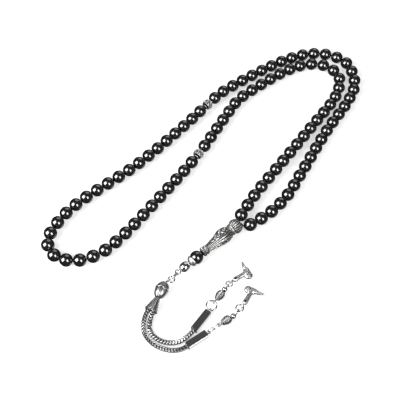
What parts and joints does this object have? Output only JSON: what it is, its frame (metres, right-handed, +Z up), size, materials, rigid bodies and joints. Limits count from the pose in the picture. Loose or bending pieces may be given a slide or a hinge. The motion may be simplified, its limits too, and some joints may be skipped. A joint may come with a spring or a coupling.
{
  "type": "prayer beads",
  "caption": "Loop of round polished beads on a cord, with openwork divider beads, an ornate imame and a two-branch woven-chain tassel with cast charms.",
  "frame": {"origin": "on the surface that the beads lie on, under the middle of the whole outline", "axes": "+Z up from the surface, +Y along the longer side of the outline, from the tassel towards the loop's far end, +X towards the strand's right side"},
  "size_m": [0.2028, 0.2202, 0.0094],
  "materials": {
    "hematite": "metallic-black polished stone, high gloss",
    "cast_silver": "cast and chased silver, oxidised dark in the recesses, rubbed bright on the high spots",
    "polished_silver": "polished silver wire and sheet",
    "woven_silver": "woven silver wire chain, dark between the wires",
    "thread": "black waxed thread"
  },
  "bodies": {
    "strand_top": {"beads_023_027": "hematite", "beads_028_032": "hematite", "beads_034_036": "hematite", "beads_059_062": "hematite", "beads_063_066": "hematite", "beads_068_073": "hematite", "cord_top_inner": "thread", "cord_top_outer": "thread"},
    "strand_right": {"beads_008_015": "hematite", "beads_016_022": "hematite", "beads_074_079": "hematite", "beads_080_085": "hematite", "beads_086_091": "hematite", "cord_right_inner": "thread", "cord_right_outer": "thread"},
    "strand_imame": {"beads_001_007": "hematite", "beads_092_099": "hematite", "cord_imame_inner": "thread", "cord_imame_outer": "thread"},
    "strand_left": {"beads_037_041": "hematite", "beads_054_058": "hematite", "cord_left_inner": "thread", "cord_left_outer": "thread"},
    "strand_far": {"beads_042_045": "hematite", "beads_046_049": "hematite", "beads_050_053": "hematite", "cord_far_turn": "thread"},
    "bead_first": {"bead_first": "hematite"},
    "bead_last": {"bead_last": "hematite"},
    "divider_1": {"divider_1": "cast_silver"},
    "divider_2": {"divider_2": "cast_silver"},
    "head": {"imame_knob": "cast_silver", "imame_washer": "polished_silver", "cord_tail": "thread"},
    "imame": {"imame_body": "cast_silver"},
    "pin": {"head_pin": "polished_silver", "flared_cap": "polished_silver"},
    "end_bead": {"end_bead": "hematite"},
    "oval_bead": {"oval_bead": "polished_silver"},
    "oval_link": {"oval_link": "polished_silver"},
    "jump_ring": {"jump_ring": "polished_silver"},
    "crown": {"crown_pin": "polished_silver", "crown_bead": "cast_silver", "bell_cone": "cast_silver", "braid_inner": "woven_silver", "braid_outer": "woven_silver"},
    "branch_inner": {"tube_inner": "polished_silver"},
    "branch_outer": {"tube_outer": "polished_silver"},
    "ring_inner": {"ring_inner": "polished_silver"},
    "barrel_inner": {"barrel_inner": "cast_silver", "ball_inner": "polished_silver"},
    "top_ring_inner": {"top_ring_inner": "polished_silver"},
    "charm_inner": {"charm_inner": "cast_silver"},
    "link_flat_outer": {"link_flat_outer": "polished_silver"},
    "link_upright_outer": {"link_upright_outer": "polished_silver"},
    "barrel_outer": {"barrel_outer": "cast_silver", "ball_outer": "polished_silver"},
    "top_ring_outer": {"top_ring_outer": "polished_silver"},
    "charm_outer": {"charm_outer": "cast_silver"}
  },
  "joints": [
    {"name": "fold_right", "type": "hinge", "parent": "strand_top", "child": "strand_right", "pos_m": [0.04099, 0.08864, 0.004], "axis": [0.594, -0.8045, 0], "range_deg": [-4, 0]},
    {"name": "fold_imame", "type": "hinge", "parent": "strand_right", "child": "strand_imame", "pos_m": [0.05869, 0.02347, 0.004], "axis": [-0.9645, 0.264, 0], "range_deg": [0, 15]},
    {"name": "fold_left", "type": "hinge", "parent": "strand_top", "child": "strand_left", "pos_m": [-0.03666, 0.00465, 0.004], "axis": [-0.8833, 0.4688, 0], "range_deg": [0, 15]},
    {"name": "fold_far", "type": "hinge", "parent": "strand_left", "child": "strand_far", "pos_m": [-0.06473, -0.02385, 0.004], "axis": [-0.8459, 0.5333, 0], "range_deg": [0, 15]},
    {"name": "bead_first_spin", "type": "hinge", "parent": "strand_imame", "child": "bead_first", "pos_m": [0.0176, -0.0241, 0.004], "axis": [0.516, 0.8566, 0], "continuous": true},
    {"name": "bead_last_spin", "type": "hinge", "parent": "strand_imame", "child": "bead_last", "pos_m": [0.0229, -0.03089, 0.004], "axis": [-0.8434, -0.5372, 0], "continuous": true},
    {"name": "divider_1_spin", "type": "hinge", "parent": "strand_top", "child": "divider_1", "pos_m": [-0.00841, 0.02067, 0.004], "axis": [-0.5429, -0.8398, 0], "continuous": true},
    {"name": "divider_2_spin", "type": "hinge", "parent": "strand_top", "child": "divider_2", "pos_m": [-0.00248, 0.06072, 0.004], "axis": [0.6562, 0.7546, 0], "continuous": true},
    {"name": "imame_swing", "type": "hinge", "parent": "strand_imame", "child": "head", "pos_m": [0.0139, -0.0326, 0.00495], "axis": [0, 0, 1], "range_deg": [-10, 10]},
    {"name": "imame_turn", "type": "hinge", "parent": "head", "child": "imame", "pos_m": [0.0139, -0.0326, 0.00495], "axis": [-0.7514, -0.6594, -0.025], "continuous": true},
    {"name": "pin_swivel", "type": "hinge", "parent": "head", "child": "pin", "pos_m": [0.0139, -0.0326, 0.00495], "axis": [-0.7514, -0.6594, -0.025], "range_deg": [0, 60]},
    {"name": "end_bead_spin", "type": "hinge", "parent": "pin", "child": "end_bead", "pos_m": [-0.00943, -0.05307, 0.00417], "axis": [-0.7514, -0.6594, -0.025], "continuous": true},
    {"name": "oval_bead_spin", "type": "hinge", "parent": "pin", "child": "oval_bead", "pos_m": [-0.01623, -0.05904, 0.00395], "axis": [-0.7514, -0.6594, -0.025], "continuous": true},
    {"name": "link_turn", "type": "hinge", "parent": "pin", "child": "oval_link", "pos_m": [-0.02021, -0.06254, 0.00382], "axis": [0, 0, 1], "range_deg": [-15, 5]},
    {"name": "jump_ring_turn", "type": "hinge", "parent": "oval_link", "child": "jump_ring", "pos_m": [-0.02328, -0.06625, 0.00359], "axis": [0, 0, 1], "range_deg": [-15, 5]},
    {"name": "crown_turn", "type": "hinge", "parent": "jump_ring", "child": "crown", "pos_m": [-0.02385, -0.06694, 0.00355], "axis": [0, 0, 1], "range_deg": [-15, 5]},
    {"name": "braid_inner_lift", "type": "hinge", "parent": "crown", "child": "branch_inner", "pos_m": [-0.0264, -0.1041, 0.00175], "axis": [0, -1, 0], "range_deg": [0, 30], "deforming": ["braid_inner"]},
    {"name": "braid_outer_spread", "type": "hinge", "parent": "crown", "child": "branch_outer", "pos_m": [-0.0294, -0.1076, 0.00175], "axis": [0, 0, 1], "range_deg": [-20, 0], "deforming": ["braid_outer"]},
    {"name": "ring_inner_lift", "type": "hinge", "parent": "branch_inner", "child": "ring_inner", "pos_m": [-0.00194, -0.08552, 0.0019], "axis": [0.9325, -0.3613, 0], "range_deg": [0, 40]},
    {"name": "barrel_inner_turn", "type": "hinge", "parent": "ring_inner", "child": "barrel_inner", "pos_m": [-0.00088, -0.08277, 0.00225], "axis": [0, 0, 1], "range_deg": [-8, 5]},
    {"name": "top_ring_inner_lift", "type": "hinge", "parent": "barrel_inner", "child": "top_ring_inner", "pos_m": [0.00848, -0.07075, 0.00284], "axis": [0.8189, -0.5739, 0], "range_deg": [0, 40]},
    {"name": "charm_inner_turn", "type": "hinge", "parent": "top_ring_inner", "child": "charm_inner", "pos_m": [0.0095, -0.0693, 0.0025], "axis": [0, 0, 1], "range_deg": [-20, 8]},
    {"name": "link_flat_outer_lift", "type": "hinge", "parent": "branch_outer", "child": "link_flat_outer", "pos_m": [-0.00279, -0.09889, 0.0019], "axis": [0.5948, -0.8039, 0], "range_deg": [0, 30]},
    {"name": "link_upright_outer_turn", "type": "hinge", "parent": "link_flat_outer", "child": "link_upright_outer", "pos_m": [-0.00009, -0.09689, 0.0022], "axis": [0, 0, 1], "range_deg": [-15, 5]},
    {"name": "barrel_outer_lift", "type": "hinge", "parent": "link_upright_outer", "child": "barrel_outer", "pos_m": [0.0026, -0.0949, 0.0025], "axis": [0.5342, -0.8453, 0], "range_deg": [0, 30]},
    {"name": "top_ring_outer_lift", "type": "hinge", "parent": "barrel_outer", "child": "top_ring_outer", "pos_m": [0.01412, -0.08615, 0.00267], "axis": [0.8837, -0.468, 0], "range_deg": [0, 40]},
    {"name": "charm_outer_turn", "type": "hinge", "parent": "top_ring_outer", "child": "charm_outer", "pos_m": [0.0151, -0.0843, 0.0025], "axis": [0, 0, 1], "range_deg": [-25, 5]}
  ]
}
